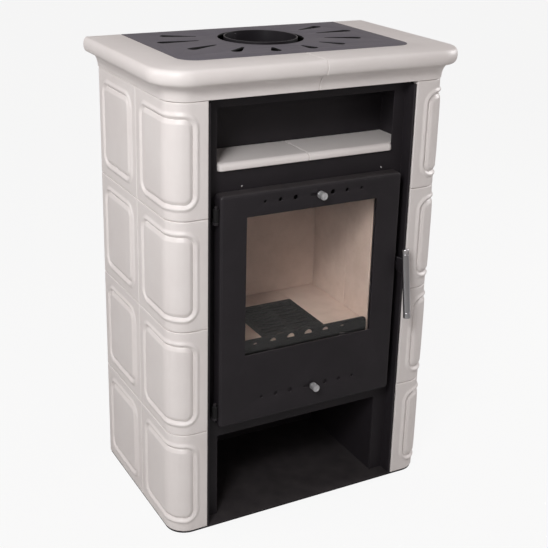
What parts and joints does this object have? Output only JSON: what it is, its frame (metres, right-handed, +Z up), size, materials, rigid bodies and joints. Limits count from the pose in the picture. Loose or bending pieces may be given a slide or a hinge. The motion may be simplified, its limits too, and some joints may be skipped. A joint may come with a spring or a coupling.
{
  "type": "tiled wood stove",
  "caption": "Free-standing wood stove in a jacket of pale glazed tiles, with a glazed steel door, two air sliders, a warming niche and an open log store.",
  "frame": {"origin": "on the floor, under the middle of the tiled body (half its width and half its depth, cornice left out)", "axes": "+Z up, -Y out of the front with the door, +X to the right as seen by someone facing the door"},
  "size_m": [0.6592, 0.4093, 0.9523],
  "materials": {
    "glazed_tile": "semi-gloss cream glaze",
    "black_steel": "matt black heat-resistant paint",
    "grey_steel": "matt dark grey heat-resistant paint",
    "stainless_steel": "brushed",
    "firebrick": "rough cast fireclay",
    "cast_iron": "as cast",
    "fire_glass": "clear, smooth",
    "rope_seal": "woven glass fibre rope"
  },
  "bodies": {
    "stove": {"corner_tile_left_1": "glazed_tile", "corner_tile_left_2": "glazed_tile", "corner_tile_left_3": "glazed_tile", "corner_tile_left_4": "glazed_tile", "corner_tile_right_1": "glazed_tile", "corner_tile_right_2": "glazed_tile", "corner_tile_right_3": "glazed_tile", "corner_tile_right_4": "glazed_tile", "side_tile_left_1": "glazed_tile", "side_tile_left_2": "glazed_tile", "side_tile_left_3": "glazed_tile", "side_tile_left_4": "glazed_tile", "side_tile_right_1": "glazed_tile", "side_tile_right_2": "glazed_tile", "side_tile_right_3": "glazed_tile", "side_tile_right_4": "glazed_tile", "cornice_left": "glazed_tile", "cornice_right": "glazed_tile", "shelf_tile_left": "glazed_tile", "shelf_tile_right": "glazed_tile", "base_plate": "black_steel", "front_frame": "black_steel", "tile_rail_left": "black_steel", "tile_rail_right": "black_steel", "rear_angle_left": "black_steel", "rear_angle_right": "black_steel", "rear_panel": "black_steel", "flue_collar": "black_steel", "niche_pan": "black_steel", "log_store_liner": "black_steel", "firebox_shell": "black_steel", "ash_pan": "black_steel", "hinge_lug_lower": "black_steel", "hinge_lug_upper": "black_steel", "latch_keeper": "black_steel", "top_plate": "grey_steel", "wall_brick_left_front": "firebrick", "wall_brick_left_rear": "firebrick", "wall_brick_right_front": "firebrick", "wall_brick_right_rear": "firebrick", "back_brick": "firebrick", "floor_brick_left": "firebrick", "floor_brick_right": "firebrick", "floor_brick_rear": "firebrick", "floor_brick_front": "firebrick", "baffle": "firebrick", "grate": "cast_iron", "log_guard": "cast_iron"},
    "door": {"door_panel": "black_steel", "door_glass": "fire_glass", "door_seal": "rope_seal", "glass_clip_left": "black_steel", "glass_clip_right": "black_steel", "handle_pivot": "stainless_steel"},
    "handle": {"handle_lever": "black_steel", "handle_grip": "stainless_steel"},
    "upper_air": {"upper_air_slider": "black_steel", "upper_air_knob": "stainless_steel"},
    "lower_air": {"lower_air_slider": "black_steel", "lower_air_knob": "stainless_steel"}
  },
  "joints": [
    {"name": "door_hinge", "type": "hinge", "parent": "stove", "child": "door", "pos_m": [-0.2072, -0.1758, 0.4645], "axis": [0, 0, -1], "range_deg": [0, 110]},
    {"name": "handle_pull", "type": "hinge", "parent": "door", "child": "handle", "pos_m": [0.21105, -0.1655, 0.505], "axis": [-1, 0, 0], "range_deg": [0, 35]},
    {"name": "upper_air_slide", "type": "slide", "parent": "door", "child": "upper_air", "axis": [1, 0, 0], "range_m": [-0.016, 0]},
    {"name": "lower_air_slide", "type": "slide", "parent": "door", "child": "lower_air", "axis": [1, 0, 0], "range_m": [-0.016, 0]}
  ]
}
